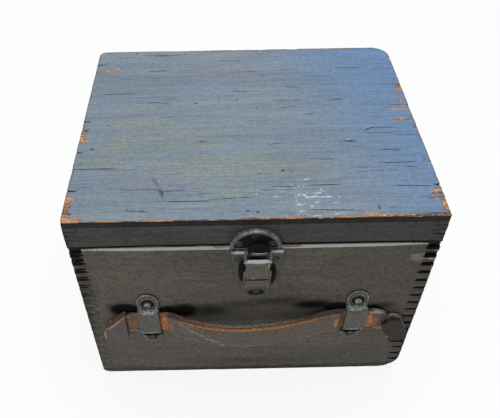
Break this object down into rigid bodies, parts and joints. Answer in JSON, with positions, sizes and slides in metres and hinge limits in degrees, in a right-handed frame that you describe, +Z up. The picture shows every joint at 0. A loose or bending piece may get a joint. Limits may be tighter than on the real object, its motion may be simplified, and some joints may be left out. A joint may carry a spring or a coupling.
{
  "type": "sextant box",
  "caption": "Finger-jointed wooden instrument case with a hinged lid, a draw catch and a leather strap handle that slides in two steel loops.",
  "frame": {"origin": "centre of the underside of the bottom panel", "axes": "+Z up, +X along the front towards the right-hand end as seen from the front, -Y towards the front with the catch and the strap"},
  "size_m": [0.28, 0.2578, 0.209],
  "materials": {
    "wood_case": "worn dark grey-brown paint over finger-jointed hardwood boards",
    "wood_lid": "weathered blue-grey paint with bare wood at the worn edges",
    "iron_brads": "rusted cut brads",
    "hinge_steel": "dark steel with the paint rubbed off the barrel",
    "steel_screws": "dark slotted screws",
    "catch_metal": "blackened brass, rubbed to grey on its edges",
    "catch_worn": "blackened brass worn through to brown and yellow metal",
    "loop_steel": "dark grey painted steel",
    "strap_leather": "dark brown leather worn to tan along its edges",
    "wood_inside": "plain varnished softwood",
    "felt": "green baize"
  },
  "bodies": {
    "case": {"front_board": "wood_case", "back_board": "wood_case", "left_board": "wood_case", "right_board": "wood_case", "bottom_panel": "wood_case", "bottom_brads": "iron_brads", "hinge_case_leaf_left": "hinge_steel", "hinge_case_leaf_right": "hinge_steel", "hinge_pin_left": "hinge_steel", "hinge_pin_right": "hinge_steel", "hinge_case_screws": "steel_screws", "catch_base": "catch_metal", "catch_base_screws": "steel_screws", "strap_loop_left": "loop_steel", "strap_loop_right": "loop_steel", "strap_loop_screws": "steel_screws", "saddle_left": "wood_inside", "saddle_right": "wood_inside", "saddle_felts": "felt", "accessory_partition": "wood_inside", "keeper_screw": "steel_screws"},
    "lid": {"lid_front_rail": "wood_lid", "lid_back_rail": "wood_lid", "lid_left_rail": "wood_lid", "lid_right_rail": "wood_lid", "lid_top_panel": "wood_lid", "lid_brads": "iron_brads", "hinge_lid_leaf_left": "hinge_steel", "hinge_lid_leaf_right": "hinge_steel", "hinge_lid_screws": "steel_screws", "strike_plate": "catch_metal", "strike_screws": "steel_screws", "lid_pads": "wood_inside", "lid_pad_felts": "felt"},
    "catch_lever": {"catch_lever": "catch_worn", "catch_lever_pin": "catch_metal"},
    "draw_link": {"draw_link": "catch_worn", "draw_link_pin": "catch_metal"},
    "strap": {"strap": "strap_leather", "strap_grip": "strap_leather", "strap_stop_left": "strap_leather", "strap_stop_right": "strap_leather"},
    "keeper": {"keeper": "wood_inside"}
  },
  "joints": [
    {"name": "lid_hinge", "type": "hinge", "parent": "case", "child": "lid", "pos_m": [0, 0.1179, 0.18025], "axis": [-1, 0, 0], "range_deg": [0, 188]},
    {"name": "catch_lever", "type": "hinge", "parent": "case", "child": "catch_lever", "pos_m": [0.002, -0.1211, 0.1498], "axis": [-1, 0, 0], "range_deg": [0, 100]},
    {"name": "draw_link", "type": "hinge", "parent": "catch_lever", "child": "draw_link", "pos_m": [0.002, -0.1202, 0.1446], "axis": [-1, 0, 0], "range_deg": [-105, 0]},
    {"name": "strap_slide", "type": "slide", "parent": "case", "child": "strap", "axis": [1, 0, 0], "range_m": [-0.0067, 0.0047]},
    {"name": "keeper_turn", "type": "hinge", "parent": "case", "child": "keeper", "pos_m": [0.014, 0.081, 0.0715], "axis": [0, 0, 1], "range_deg": [-120, 120]}
  ],
  "couplings": [
    {"joint": "draw_link", "follows": "catch_lever", "ratio": -1.05}
  ]
}
